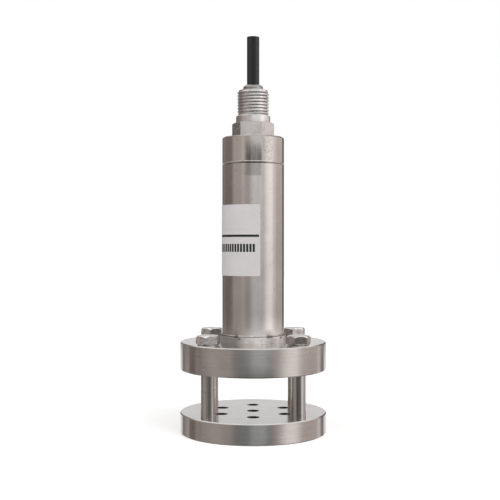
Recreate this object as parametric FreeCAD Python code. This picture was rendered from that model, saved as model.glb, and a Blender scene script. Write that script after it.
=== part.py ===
"""Submersible level transmitter with a guard plate, in millimetres.

The origin is the centre of the guard plate's bottom face, +Z is up and -Y is the front.
From the bottom up: guard plate, open gap crossed by four tie bolts, sensor flange, tube,
cap, conduit fitting and cable.
"""
import FreeCAD
import Part

import math
import os

from FreeCAD import Vector

# Discs and the open gap between them
disc_diameter = 100.0
guard_thickness = 14.0
gap_height = 29.0
flange_thickness = 19.0
disc_edge_chamfer = 0.6

# Flow holes in the guard plate
flow_hole_diameter = 8.0
flow_hole_circle = 49.0
flow_hole_count = 6
flow_hole_chamfer = 0.3

# Tie bolts: hexagon head, plain shank through the flange, smaller thread in the guard plate
tie_bolt_edge_distance = 8.0
tie_bolt_angles = (225.0, 315.0, 135.0, 45.0)
tie_bolt_head_turns = (-12.5, -20.0, -3.0, -10.0)
tie_shank_diameter = 9.5
tie_shank_clearance = 0.1
tie_thread_diameter = 7.9
tie_thread_clearance = 0.1
tie_thread_end_gap = 1.0
tie_thread_chamfer = 0.8
tie_head_flats = 14.3
tie_head_height = 6.7
tie_washer_face_height = 0.4
tie_washer_face_inset = 0.3
tie_head_chamfer_share = 0.472
tie_head_chamfer_angle = 40.0

# Hub on the flange, and the tube that stands in its socket
tube_diameter = 42.4
tube_wall = 2.9
tube_length = 120.5
tube_edge_chamfer = 0.5
hub_lip = 1.1
hub_height = 4.7
hub_edge_chamfer = 0.4
socket_depth = 4.0
weld_leg = 0.7

# Diaphragm under the flange, and the ring that clamps it. One step leads inwards from the
# ring's edge to the screws, to the diaphragm's edge and to the ring's opening.
clamp_ring_bolt_gap = 1.45
clamp_ring_step = 2.6
clamp_ring_thickness = 4.0
clamp_ring_clearance = 0.2
diaphragm_thickness = 0.3
diaphragm_edge_clearance = 0.15
diaphragm_boss_diameter = 12.0
diaphragm_flat_width = 3.0
diaphragm_wave_count = 4
diaphragm_wave_height = 0.35
oil_chamber_ledge = 1.0
oil_chamber_depth = 0.8
oil_passage_diameter = 3.0
diaphragm_seal_section = 1.5
clamp_screw_count = 8
clamp_screw_diameter = 2.5
clamp_screw_length = 8.0
clamp_screw_tip_gap = 0.5
clamp_screw_head = 4.7
clamp_screw_socket = 1.5
clamp_screw_socket_depth = 0.9
clamp_screw_clearance = 0.1

# Pressure capsule in the flange, held down by a threaded ring
capsule_diameter = 19.0
capsule_height = 8.0
capsule_clearance = 0.1
capsule_seal_section = 1.3
capsule_rim_chamfer = 0.3
capsule_ring_diameter = 24.0
capsule_ring_opening = 14.0
capsule_ring_thickness = 3.5
capsule_ring_slot = 2.0
pin_count = 5
pin_circle = 9.0
pin_diameter = 0.7
pin_height = 6.8

# Seals are round rings in grooves this much wider than their section
groove_width_ratio = 1.3

# Electronics inside the tube
cradle_clearance = 0.3
cradle_skirt_wall = 2.0
cradle_skirt_height = 13.0
cradle_plate_thickness = 3.0
cradle_wire_hole = 17.0
cradle_cap_gap = 7.2
rail_width = 6.0
board_edge_distance = 2.6
board_thickness = 1.6
board_end_gap = 2.0
board_foot_width = 3.0
board_grid = 1.27
board_groove_depth = 1.0
board_groove_clearance = 0.1
terminal_depth = 8.0
terminal_height = 10.0
terminal_drop = 9.0
terminal_pitch = 5.0
terminal_lead_depth = 5.0
terminal_screw_drop = 6.5
terminal_screw_diameter = 3.2
terminal_screw_height = 0.8
terminal_screw_slot = 0.7
vent_tube_diameter = 1.6
vent_tube_stand = 6.0
vent_tube_bend_length = 8.0
wire_diameter = 1.0
wire_pitch = 3.0
lead_diameter = 1.7
lead_clearance = 0.1
lead_spread = 2.2
lead_bend_length = 7.0

# Cap on the tube
cap_height = 18.4
cap_top_chamfer = 0.8
cap_spigot_length = 14.0
cap_spigot_clearance = 0.1
cap_seal_section = 1.8
cap_seal_drop = 6.0
cap_bore_margin = 1.5
cap_thread_diameter = 19.0
cap_thread_depth = 10.0

# Conduit fitting
fitting_flats = 25.2
fitting_hex_height = 10.0
fitting_hex_turn = -36.0
fitting_chamfer_share = 0.53
fitting_chamfer_angle = 30.0
collar_diameter = 23.5
collar_height = 4.9
collar_chamfer = 0.5
conduit_thread_diameter = 21.4
conduit_thread_length = 17.5
conduit_thread_chamfer = 1.0
fitting_shank_clearance = 0.05
fitting_cable_gap = 1.25
fitting_seal_section = 1.3

# Gland inside the fitting
gland_depth = 21.0
gland_washer_thickness = 1.0
gland_washer_cable_gap = 0.25
grommet_wall = 2.4
grommet_height = 8.0
gland_fit_clearance = 0.05
ferrule_nose_height = 3.7
ferrule_nose_wall = 0.85

# Label on the front left of the tube
label_height = 47.9
label_width = 75.0
label_thickness = 0.25
label_bottom_height = 107.3
label_right_edge_angle = 12.6
label_corner_radius = 1.2
label_glue_gap = 0.02

# Cable
cable_diameter = 8.5
cable_tail_below_cap = -4.4
cable_end_length = 33.0
core_count = 3
core_circle = 3.4
core_length = 6.0
core_proud = 0.4
vent_bore = 0.8

# Heights and radii that follow from the sizes above
disc_radius = disc_diameter / 2
tie_bolt_circle = disc_diameter - 2 * tie_bolt_edge_distance
clamp_ring_diameter = tie_bolt_circle - tie_shank_diameter - 2 * clamp_ring_bolt_gap
clamp_screw_circle = clamp_ring_diameter - 2 * clamp_ring_step
diaphragm_diameter = clamp_screw_circle - 2 * clamp_ring_step
clamp_ring_opening = diaphragm_diameter - 2 * clamp_ring_step
diaphragm_seal_circle = (diaphragm_diameter + clamp_ring_opening) / 2
oil_chamber_diameter = clamp_ring_opening - 2 * oil_chamber_ledge
diaphragm_wave_band = (oil_chamber_diameter - diaphragm_boss_diameter) / 2 - diaphragm_flat_width
diaphragm_wave_width = diaphragm_wave_band / diaphragm_wave_count
guard_top = guard_thickness
flange_bottom = guard_top + gap_height
flange_top = flange_bottom + flange_thickness
tube_radius = tube_diameter / 2
tube_bore_radius = tube_radius - tube_wall
hub_radius = tube_radius + hub_lip
hub_top = flange_top + hub_height
tube_seat = hub_top - socket_depth
tube_top = tube_seat + tube_length
cap_top = tube_top + cap_height
spigot_radius = tube_bore_radius - cap_spigot_clearance
spigot_bottom = tube_top - cap_spigot_length
fitting_bottom = cap_top - cap_thread_depth
fitting_hex_top = cap_top + fitting_hex_height
collar_top = fitting_hex_top + collar_height
conduit_thread_top = collar_top + conduit_thread_length
fitting_bore = cable_diameter + 2 * fitting_cable_gap
fitting_seal_circle = (cap_thread_diameter + fitting_flats) / 2
cap_bore = fitting_bore + 2 * cap_bore_margin
gland_bore = cable_diameter + 2 * grommet_wall + 2 * gland_fit_clearance
gland_washer_opening = cable_diameter + 2 * gland_washer_cable_gap
ferrule_nose_top = cable_diameter + 2 * ferrule_nose_wall
gland_floor = conduit_thread_top - gland_depth
grommet_bottom = gland_floor + gland_washer_thickness
grommet_top = grommet_bottom + grommet_height
cable_exit = conduit_thread_top + ferrule_nose_height
cable_radius = cable_diameter / 2
cable_tail_bottom = fitting_bottom + cable_tail_below_cap
clamp_land = flange_bottom + clamp_ring_thickness
chamber_top = clamp_land + oil_chamber_depth
capsule_top = tube_seat - capsule_ring_thickness
capsule_bottom = capsule_top - capsule_height
cradle_radius = tube_bore_radius - cradle_clearance
cradle_floor_top = tube_seat + cradle_skirt_height
cradle_top = spigot_bottom - cradle_cap_gap
cradle_top_plate = cradle_top - cradle_plate_thickness
board_width = 2 * (cradle_radius - board_edge_distance)
board_bottom = cradle_floor_top + board_end_gap
board_top = cradle_top_plate - board_end_gap
terminal_top = board_top - terminal_drop
terminal_width = 3 * terminal_pitch
cable_end = cable_exit + cable_end_length

# Share of the shorter run that an arc in a wire's path takes up
arc_share = 0.45


def cylinder(radius, bottom, top, x=0.0, y=0.0):
    """Upright cylinder between two heights."""
    return Part.makeCylinder(radius, top - bottom, Vector(x, y, bottom))


def turned(profile):
    """Solid of revolution about Z from a closed outline of (radius, height) points."""
    points = [Vector(radius, 0, height) for radius, height in profile]
    face = Part.Face(Part.makePolygon(points + points[:1]))
    return face.revolve(Vector(0, 0, 0), Vector(0, 0, 1), 360)


def polar(circle_diameter, angle):
    """Point on a circle about Z."""
    turn = math.radians(angle)
    return circle_diameter / 2 * math.cos(turn), circle_diameter / 2 * math.sin(turn)


def on_circle(circle_diameter, count, first_angle=0.0):
    """Evenly spaced points on a circle about Z."""
    return [polar(circle_diameter, first_angle + 360.0 * step / count) for step in range(count)]


def seal_ring(circle_diameter, section, height):
    """Round sealing ring about Z."""
    return Part.makeTorus(circle_diameter / 2, section / 2, Vector(0, 0, height))


def hexagon(flats, bottom, top, turn, x=0.0, y=0.0):
    """Upright hexagonal prism. One corner lies at the turn, measured from -Y towards +X."""
    corner_radius = flats / math.sqrt(3)
    corners = []
    for step in range(6):
        angle = math.radians(turn + 60.0 * step)
        corner_x = x + corner_radius * math.sin(angle)
        corner_y = y - corner_radius * math.cos(angle)
        corners.append(Vector(corner_x, corner_y, bottom))
    face = Part.Face(Part.makePolygon(corners + corners[:1]))
    return face.extrude(Vector(0, 0, top - bottom))


def crown(flats, bottom, top, share, angle):
    """Cylinder with the two chamfers that round off a hexagon's corners above and below."""
    corner_radius = flats / math.sqrt(3) + 0.01 * flats
    chamfer_radius = share * flats
    drop = (corner_radius - chamfer_radius) * math.tan(math.radians(angle))
    return turned((
        (0, bottom),
        (chamfer_radius, bottom),
        (corner_radius, bottom + drop),
        (corner_radius, top - drop),
        (chamfer_radius, top),
        (0, top),
    ))


def rounded_path(points):
    """Straight runs joined by tangent arcs, each as large as its two runs allow."""
    corners = [Vector(*point) for point in points]
    edges = []
    start = corners[0]
    for before, corner, after in zip(corners, corners[1:], corners[2:]):
        run_in = before - corner
        run_out = after - corner
        half_turn = (math.pi - run_in.getAngle(run_out)) / 2
        reach = arc_share * min(run_in.Length, run_out.Length)
        radius = reach / math.tan(half_turn)
        run_in.normalize()
        run_out.normalize()
        arc_start = corner + run_in * reach
        arc_end = corner + run_out * reach
        bisector = run_in + run_out
        bisector.normalize()
        middle = corner + bisector * (radius / math.cos(half_turn) - radius)
        edges.append(Part.LineSegment(start, arc_start).toShape())
        edges.append(Part.Arc(arc_start, middle, arc_end).toShape())
        start = arc_end
    edges.append(Part.LineSegment(start, corners[-1]).toShape())
    return Part.Wire(edges)


def swept_round(points, diameter):
    """Round wire or tube along a path of runs and arcs."""
    first = Vector(*points[0])
    direction = Vector(*points[1]) - first
    section = Part.Wire(Part.makeCircle(diameter / 2, first, direction))
    return rounded_path(points).makePipeShell([section], True, False)


def guard_plate():
    """Thick disc with six flow holes round a central one, and tapped holes for the bolts."""
    edge = disc_edge_chamfer
    plate = turned((
        (0, 0),
        (disc_radius - edge, 0),
        (disc_radius, edge),
        (disc_radius, guard_top - edge),
        (disc_radius - edge, guard_top),
        (0, guard_top),
    ))
    radius = flow_hole_diameter / 2
    rim = radius + flow_hole_chamfer
    flow_hole = turned((
        (0, 0),
        (rim, 0),
        (radius, flow_hole_chamfer),
        (radius, guard_top - flow_hole_chamfer),
        (rim, guard_top),
        (0, guard_top),
    ))
    cuts = [flow_hole]
    for x, y in on_circle(flow_hole_circle, flow_hole_count, 90.0):
        cuts.append(flow_hole.translated(Vector(x, y, 0)))
    tapped_radius = (tie_thread_diameter + tie_thread_clearance) / 2
    for angle in tie_bolt_angles:
        x, y = polar(tie_bolt_circle, angle)
        cuts.append(cylinder(tapped_radius, 0, guard_top, x, y))
    return plate.cut(cuts)


def sensor_flange():
    """Thick disc and hub: diaphragm recess below, capsule bore and tube socket above."""
    edge = disc_edge_chamfer
    recess = clamp_ring_diameter / 2 + clamp_ring_clearance
    capsule_bore = capsule_diameter / 2 + capsule_clearance
    ring_bore = capsule_ring_diameter / 2
    flange = turned((
        (oil_passage_diameter / 2, chamber_top),
        (oil_chamber_diameter / 2, chamber_top),
        (oil_chamber_diameter / 2, clamp_land),
        (recess, clamp_land),
        (recess, flange_bottom),
        (disc_radius - edge, flange_bottom),
        (disc_radius, flange_bottom + edge),
        (disc_radius, flange_top - edge),
        (disc_radius - edge, flange_top),
        (hub_radius, flange_top),
        (hub_radius, hub_top - hub_edge_chamfer),
        (hub_radius - hub_edge_chamfer, hub_top),
        (tube_radius, hub_top),
        (tube_radius, tube_seat),
        (ring_bore, tube_seat),
        (ring_bore, capsule_top),
        (capsule_bore, capsule_top),
        (capsule_bore, capsule_bottom),
        (oil_passage_diameter / 2, capsule_bottom),
    ))
    groove_radius = groove_width_ratio * diaphragm_seal_section / 2
    groove_centre = diaphragm_seal_circle / 2
    cuts = [turned((
        (groove_centre - groove_radius, clamp_land),
        (groove_centre + groove_radius, clamp_land),
        (groove_centre + groove_radius, clamp_land + diaphragm_seal_section),
        (groove_centre - groove_radius, clamp_land + diaphragm_seal_section),
    ))]
    hole_radius = (tie_shank_diameter + tie_shank_clearance) / 2
    for angle in tie_bolt_angles:
        x, y = polar(tie_bolt_circle, angle)
        cuts.append(cylinder(hole_radius, flange_bottom, flange_top, x, y))
    screw_hole_radius = (clamp_screw_diameter + clamp_screw_clearance) / 2
    hole_top = flange_bottom + clamp_screw_length + clamp_screw_tip_gap
    for x, y in on_circle(clamp_screw_circle, clamp_screw_count):
        cuts.append(cylinder(screw_hole_radius, clamp_land, hole_top, x, y))
    return flange.cut(cuts)


def tie_bolts():
    """Four bolts: chamfered hexagon head, washer face, plain shank and reduced thread."""
    bolts = []
    washer_radius = tie_head_flats / 2 - tie_washer_face_inset
    hex_bottom = flange_top + tie_washer_face_height
    hex_top = flange_top + tie_head_height
    shank_radius = tie_shank_diameter / 2
    thread_radius = tie_thread_diameter / 2
    thread_end = tie_thread_end_gap
    stem = turned((
        (0, thread_end),
        (thread_radius - tie_thread_chamfer, thread_end),
        (thread_radius, thread_end + tie_thread_chamfer),
        (thread_radius, guard_top),
        (shank_radius, guard_top),
        (shank_radius, flange_top),
        (washer_radius, flange_top),
        (washer_radius, hex_bottom),
        (0, hex_bottom),
    ))
    rounding = crown(tie_head_flats, hex_bottom, hex_top, tie_head_chamfer_share, tie_head_chamfer_angle)
    for angle, turn in zip(tie_bolt_angles, tie_bolt_head_turns):
        x, y = polar(tie_bolt_circle, angle)
        head = hexagon(tie_head_flats, hex_bottom, hex_top, turn)
        head = head.common(rounding)
        bolts.append(head.fuse(stem).removeSplitter().translated(Vector(x, y, 0)))
    return Part.makeCompound(bolts)


def body_tube():
    """Plain pipe with both outer ends chamfered."""
    edge = tube_edge_chamfer
    return turned((
        (tube_bore_radius, tube_seat),
        (tube_radius - edge, tube_seat),
        (tube_radius, tube_seat + edge),
        (tube_radius, tube_top - edge),
        (tube_radius - edge, tube_top),
        (tube_bore_radius, tube_top),
    ))


def hub_weld():
    """Small fillet weld between the hub's lip and the tube."""
    return turned((
        (tube_radius, hub_top),
        (tube_radius + weld_leg, hub_top),
        (tube_radius, hub_top + weld_leg),
    ))


def clamp_ring():
    """Ring that clamps the diaphragm, flush with the flange's underside."""
    outer = clamp_ring_diameter / 2
    inner = clamp_ring_opening / 2
    step_radius = diaphragm_diameter / 2 + diaphragm_edge_clearance
    step_height = clamp_land - diaphragm_thickness
    ring = turned((
        (inner, flange_bottom + disc_edge_chamfer),
        (inner + disc_edge_chamfer, flange_bottom),
        (outer, flange_bottom),
        (outer, clamp_land),
        (step_radius, clamp_land),
        (step_radius, step_height),
        (inner, step_height),
    ))
    shank_radius = (clamp_screw_diameter + clamp_screw_clearance) / 2
    head_radius = clamp_screw_head / 2
    sink = turned((
        (0, flange_bottom),
        (head_radius, flange_bottom),
        (shank_radius, flange_bottom + head_radius - shank_radius),
        (shank_radius, clamp_land),
        (0, clamp_land),
    ))
    places = on_circle(clamp_screw_circle, clamp_screw_count)
    return ring.cut([sink.translated(Vector(x, y, 0)) for x, y in places])


def clamp_screws():
    """Countersunk socket screws in the clamp ring."""
    head_radius = clamp_screw_head / 2
    shank_radius = clamp_screw_diameter / 2
    tip = flange_bottom + clamp_screw_length
    screw = turned((
        (0, flange_bottom),
        (head_radius, flange_bottom),
        (shank_radius, flange_bottom + head_radius - shank_radius),
        (shank_radius, tip),
        (0, tip),
    ))
    socket = hexagon(clamp_screw_socket, flange_bottom, flange_bottom + clamp_screw_socket_depth, 0.0)
    screw = screw.cut(socket)
    places = on_circle(clamp_screw_circle, clamp_screw_count)
    return Part.makeCompound([screw.translated(Vector(x, y, 0)) for x, y in places])


def diaphragm():
    """Thin disc with round convolutions between its boss and its clamped rim."""
    def wave_line(height):
        edges = []
        start = Vector(diaphragm_boss_diameter / 2, 0, height)
        edges.append(Part.LineSegment(Vector(0, 0, height), start).toShape())
        for step in range(diaphragm_wave_count):
            crest = diaphragm_wave_height if step % 2 == 0 else -diaphragm_wave_height
            middle = start + Vector(diaphragm_wave_width / 2, 0, crest)
            end = start + Vector(diaphragm_wave_width, 0, 0)
            edges.append(Part.Arc(start, middle, end).toShape())
            start = end
        rim = Vector(diaphragm_diameter / 2, 0, height)
        edges.append(Part.LineSegment(start, rim).toShape())
        return edges

    top = clamp_land
    bottom = clamp_land - diaphragm_thickness
    rim = diaphragm_diameter / 2
    sides = [
        Part.LineSegment(Vector(0, 0, bottom), Vector(0, 0, top)).toShape(),
        Part.LineSegment(Vector(rim, 0, bottom), Vector(rim, 0, top)).toShape(),
    ]
    outline = Part.Wire(Part.__sortEdges__(wave_line(top) + wave_line(bottom) + sides))
    return Part.Face(outline).revolve(Vector(0, 0, 0), Vector(0, 0, 1), 360)


def diaphragm_seal():
    """Seal ring between the diaphragm's rim and the flange."""
    return seal_ring(diaphragm_seal_circle, diaphragm_seal_section, clamp_land + diaphragm_seal_section / 2)


def sensor_capsule():
    """Oil-filled pressure capsule with a seal groove round its side."""
    radius = capsule_diameter / 2
    edge = capsule_rim_chamfer
    groove_floor = radius + capsule_clearance - capsule_seal_section
    groove_half = groove_width_ratio * capsule_seal_section / 2
    middle = (capsule_bottom + capsule_top) / 2
    port = oil_passage_diameter / 2
    return turned((
        (0, capsule_bottom + edge),
        (port, capsule_bottom + edge),
        (port, capsule_bottom),
        (radius - edge, capsule_bottom),
        (radius, capsule_bottom + edge),
        (radius, middle - groove_half),
        (groove_floor, middle - groove_half),
        (groove_floor, middle + groove_half),
        (radius, middle + groove_half),
        (radius, capsule_top - edge),
        (radius - edge, capsule_top),
        (0, capsule_top),
    ))


def capsule_seal():
    """Seal ring between the capsule and its bore."""
    bore_diameter = capsule_diameter + 2 * capsule_clearance
    middle = (capsule_bottom + capsule_top) / 2
    return seal_ring(bore_diameter - capsule_seal_section, capsule_seal_section, middle)


def capsule_ring():
    """Threaded ring that holds the capsule down, with two spanner slots."""
    outer = capsule_ring_diameter / 2
    inner = capsule_ring_opening / 2
    ring = cylinder(outer, capsule_top, tube_seat).cut(cylinder(inner, capsule_top, tube_seat))
    depth = capsule_ring_thickness / 2
    corner = Vector(-outer, -capsule_ring_slot / 2, tube_seat - depth)
    slot = Part.makeBox(2 * outer, capsule_ring_slot, depth, corner)
    return ring.cut(slot)


def header_pins():
    """Contact pins on top of the capsule."""
    pins = []
    for x, y in on_circle(pin_circle, pin_count, 90.0):
        pins.append(cylinder(pin_diameter / 2, capsule_top, capsule_top + pin_height, x, y))
    return Part.makeCompound(pins)


def board_cradle():
    """Moulded frame: skirt on the hub's floor, two grooved rails and a top plate."""
    wire_hole = cradle_wire_hole / 2
    base = turned((
        (cradle_radius - cradle_skirt_wall, tube_seat),
        (cradle_radius, tube_seat),
        (cradle_radius, cradle_floor_top),
        (wire_hole, cradle_floor_top),
        (wire_hole, cradle_floor_top - cradle_plate_thickness),
        (cradle_radius - cradle_skirt_wall, cradle_floor_top - cradle_plate_thickness),
    ))
    lid = cylinder(cradle_radius, cradle_top_plate, cradle_top)
    lid = lid.cut(cylinder(wire_hole, cradle_top_plate, cradle_top))
    rail_outer = math.sqrt(cradle_radius ** 2 - (rail_width / 2) ** 2)
    groove_width = board_thickness + 2 * board_groove_clearance
    rail_inner = board_width / 2 + board_groove_clearance - board_groove_depth
    rails = []
    for side in (-1, 1):
        low_x = min(side * rail_inner, side * rail_outer)
        rail = Part.makeBox(
            rail_outer - rail_inner,
            rail_width,
            cradle_top_plate - cradle_floor_top,
            Vector(low_x, -rail_width / 2, cradle_floor_top),
        )
        groove_x = min(side * rail_inner, side * (rail_inner + board_groove_depth))
        groove = Part.makeBox(
            board_groove_depth,
            groove_width,
            cradle_top_plate - cradle_floor_top,
            Vector(groove_x, -groove_width / 2, cradle_floor_top),
        )
        rails.append(rail.cut(groove))
    return base.fuse([lid] + rails).removeSplitter()


def circuit_board():
    """Board that stands in the cradle's grooves on two feet."""
    board = Part.makeBox(
        board_width,
        board_thickness,
        board_top - board_bottom,
        Vector(-board_width / 2, -board_thickness / 2, board_bottom),
    )
    feet = []
    for low_x in (-board_width / 2, board_width / 2 - board_foot_width):
        feet.append(Part.makeBox(
            board_foot_width,
            board_thickness,
            board_end_gap,
            Vector(low_x, -board_thickness / 2, cradle_floor_top),
        ))
    return board.fuse(feet).removeSplitter()


def board_components():
    """Chips, capacitors and a coil, soldered to both faces of the board."""
    face = board_thickness / 2
    parts = []
    board_height = board_top - board_bottom
    # Width, height, thickness and centre x in grid steps, share of the board's height, and side
    chips = (
        (7.0, 7.0, 1.3, 0.0, 0.2, 1),
        (4.0, 5.0, 1.3, -5.5, 0.376, 1),
        (4.0, 5.0, 1.3, 5.0, 0.376, 1),
        (5.5, 4.0, 1.7, 0.0, 0.552, 1),
        (8.0, 5.5, 1.6, 0.0, 0.304, -1),
        (3.0, 2.5, 1.4, -6.5, 0.504, -1),
        (3.0, 2.5, 1.4, 6.5, 0.504, -1),
    )
    for *sizes, share, side in chips:
        width, height, thickness, x = [board_grid * size for size in sizes]
        low_y = face if side > 0 else -face - thickness
        low = Vector(x - width / 2, low_y, board_bottom + share * board_height - height / 2)
        parts.append(Part.makeBox(width, thickness, height, low))
    # Radius, length and centre x in grid steps, and share of the board's height
    cans = ((2.4, 5.0, -6.0, 0.66), (2.4, 5.0, 6.0, 0.66), (1.9, 4.0, 6.0, 0.2))
    for *sizes, share in cans:
        radius, length, x = [board_grid * size for size in sizes]
        centre = Vector(x, face, board_bottom + share * board_height)
        parts.append(Part.makeCylinder(radius, length, centre, Vector(0, 1, 0)))
    return Part.makeCompound(parts)


def terminal_block():
    """Three-way terminal block near the top of the board, open above and in front."""
    low = Vector(-terminal_width / 2, board_thickness / 2, terminal_top - terminal_height)
    block = Part.makeBox(terminal_width, terminal_depth, terminal_height, low)
    middle_y = board_thickness / 2 + terminal_depth / 2
    screw_radius = terminal_screw_diameter / 2
    lead_hole_radius = lead_diameter / 2 + lead_clearance
    lead_hole_floor = terminal_top - terminal_lead_depth
    cuts = []
    for step in (-1, 0, 1):
        x = step * terminal_pitch
        cuts.append(cylinder(lead_hole_radius, lead_hole_floor, terminal_top, x, middle_y))
        front = Vector(x, board_thickness / 2 + terminal_depth, terminal_top - terminal_screw_drop)
        cuts.append(Part.makeCylinder(screw_radius, terminal_screw_height, front, Vector(0, -1, 0)))
    return block.cut(cuts)


def terminal_screws():
    """Slotted clamping screws, sunk flush into the block's front."""
    front_y = board_thickness / 2 + terminal_depth
    radius = terminal_screw_diameter / 2
    screws = []
    for step in (-1, 0, 1):
        centre = Vector(step * terminal_pitch, front_y, terminal_top - terminal_screw_drop)
        screw = Part.makeCylinder(radius, terminal_screw_height, centre, Vector(0, -1, 0))
        low = centre + Vector(-radius, -terminal_screw_height / 2, -terminal_screw_slot / 2)
        slot = Part.makeBox(2 * radius, terminal_screw_height / 2, terminal_screw_slot, low)
        screws.append(screw.cut(slot))
    return Part.makeCompound(screws)


def sensor_wires():
    """Wires from the capsule's pins to the foot of the board."""
    wires = []
    solder_y = board_thickness / 2 + wire_diameter / 2
    pin_top = capsule_top + pin_height
    for number, (x, y) in enumerate(on_circle(pin_circle, pin_count, 90.0)[1:]):
        end_x = (number - 1.5) * wire_pitch
        path = (
            (x, y, pin_top),
            (x, y, pin_top + 4.0 * wire_diameter),
            ((x + end_x) / 2, solder_y + 1.5 * wire_diameter, cradle_floor_top - 1.5 * wire_diameter),
            (end_x, solder_y, board_bottom + 3.0 * wire_diameter),
            (end_x, solder_y, board_bottom + 7.0 * wire_diameter),
        )
        wires.append(swept_round(path, wire_diameter))
    return Part.makeCompound(wires)


def vent_tube():
    """Fine tube that takes air pressure from the cable's core to the capsule."""
    bend = vent_tube_bend_length
    path = (
        (0.0, 0.0, capsule_top),
        (0.0, 0.0, capsule_top + bend),
        (0.0, -0.67 * vent_tube_stand, cradle_floor_top - 0.25 * bend),
        (0.0, -vent_tube_stand, board_bottom + 1.25 * bend),
        (0.0, -vent_tube_stand, cradle_top_plate - 2.75 * bend),
        (0.0, -0.75 * vent_tube_stand, cradle_top_plate),
        (0.0, -lead_spread, cable_tail_bottom - bend),
        (0.0, -lead_spread, cable_tail_bottom),
    )
    return swept_round(path, vent_tube_diameter)


def inner_leads():
    """Three cores of the cable, from its stripped end down to the terminal block."""
    leads = []
    end_y = board_thickness / 2 + terminal_depth / 2
    for step in (-1, 0, 1):
        start_x = step * lead_spread
        end_x = step * terminal_pitch
        start_y = lead_diameter / 2
        path = (
            (start_x, start_y, cable_tail_bottom),
            (start_x, start_y, cable_tail_bottom - lead_bend_length),
            (end_x, end_y - lead_diameter / 2, cradle_top + 2 * lead_diameter),
            (end_x, end_y, terminal_top + 2 * lead_diameter),
            (end_x, end_y, terminal_top - terminal_lead_depth),
        )
        leads.append(swept_round(path, lead_diameter))
    return Part.makeCompound(leads)


def top_cap():
    """Plug cap: sealed spigot in the tube, cable bore and a tapped hole on top."""
    edge = tube_edge_chamfer
    groove_floor = tube_bore_radius - cap_seal_section
    groove_top = tube_top - cap_seal_drop + groove_width_ratio * cap_seal_section / 2
    groove_bottom = groove_top - groove_width_ratio * cap_seal_section
    return turned((
        (cap_bore / 2, spigot_bottom),
        (spigot_radius - edge, spigot_bottom),
        (spigot_radius, spigot_bottom + edge),
        (spigot_radius, groove_bottom),
        (groove_floor, groove_bottom),
        (groove_floor, groove_top),
        (spigot_radius, groove_top),
        (spigot_radius, tube_top),
        (tube_radius - edge, tube_top),
        (tube_radius, tube_top + edge),
        (tube_radius, cap_top - cap_top_chamfer),
        (tube_radius - cap_top_chamfer, cap_top),
        (cap_thread_diameter / 2, cap_top),
        (cap_thread_diameter / 2, fitting_bottom),
        (cap_bore / 2, fitting_bottom),
    ))


def cap_seal():
    """Seal ring between the spigot and the tube."""
    return seal_ring(2 * tube_bore_radius - cap_seal_section, cap_seal_section, tube_top - cap_seal_drop)


def conduit_fitting():
    """Hexagon fitting: shank in the cap, hexagon, collar and conduit thread."""
    collar_radius = collar_diameter / 2
    thread_radius = conduit_thread_diameter / 2
    shank_radius = cap_thread_diameter / 2 - fitting_shank_clearance
    bore_radius = fitting_bore / 2
    gland_radius = gland_bore / 2
    body = turned((
        (bore_radius, fitting_bottom),
        (shank_radius, fitting_bottom),
        (shank_radius, fitting_hex_top),
        (collar_radius, fitting_hex_top),
        (collar_radius, collar_top - collar_chamfer),
        (collar_radius - collar_chamfer, collar_top),
        (thread_radius, collar_top),
        (thread_radius, conduit_thread_top - conduit_thread_chamfer),
        (thread_radius - conduit_thread_chamfer, conduit_thread_top),
        (gland_radius, conduit_thread_top),
        (gland_radius, gland_floor),
        (bore_radius, gland_floor),
    ))
    hex_body = hexagon(fitting_flats, cap_top, fitting_hex_top, fitting_hex_turn)
    rounding = crown(
        fitting_flats,
        cap_top,
        fitting_hex_top,
        fitting_chamfer_share,
        fitting_chamfer_angle,
    )
    hex_body = hex_body.common(rounding)
    hex_body = hex_body.cut(cylinder(bore_radius, cap_top, fitting_hex_top))
    groove_half = groove_width_ratio * fitting_seal_section / 2
    centre = fitting_seal_circle / 2
    groove = turned((
        (centre - groove_half, cap_top),
        (centre + groove_half, cap_top),
        (centre + groove_half, cap_top + fitting_seal_section),
        (centre - groove_half, cap_top + fitting_seal_section),
    ))
    return body.fuse(hex_body).removeSplitter().cut(groove)


def fitting_seal():
    """Seal ring between the fitting's hexagon and the cap."""
    return seal_ring(fitting_seal_circle, fitting_seal_section, cap_top + fitting_seal_section / 2)


def gland_washer():
    """Washer at the bottom of the gland."""
    outer = gland_bore / 2 - gland_fit_clearance
    washer = cylinder(outer, gland_floor, grommet_bottom)
    return washer.cut(cylinder(gland_washer_opening / 2, gland_floor, grommet_bottom))


def cable_grommet():
    """Rubber bush that seals on the cable."""
    outer = gland_bore / 2 - gland_fit_clearance
    bush = cylinder(outer, grommet_bottom, grommet_top)
    return bush.cut(cylinder(cable_radius, grommet_bottom, grommet_top))


def cable_ferrule():
    """Metal sleeve over the grommet, with a domed nose round the cable."""
    outer = gland_bore / 2 - gland_fit_clearance
    nose = ferrule_nose_top / 2
    rise = cable_exit - conduit_thread_top
    bore_foot = Vector(cable_radius, 0, grommet_top)
    bore_top = Vector(cable_radius, 0, cable_exit)
    wall_foot = Vector(outer, 0, grommet_top)
    wall_top = Vector(outer, 0, conduit_thread_top)
    nose_edge = Vector(nose, 0, cable_exit)
    bulge = Vector((outer + nose) / 2 + 0.12 * outer, 0, conduit_thread_top + 0.62 * rise)
    edges = [
        Part.LineSegment(bore_foot, wall_foot).toShape(),
        Part.LineSegment(wall_foot, wall_top).toShape(),
        Part.Arc(wall_top, bulge, nose_edge).toShape(),
        Part.LineSegment(nose_edge, bore_top).toShape(),
        Part.LineSegment(bore_top, bore_foot).toShape(),
    ]
    return Part.Face(Part.Wire(edges)).revolve(Vector(0, 0, 0), Vector(0, 0, 1), 360)


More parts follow.
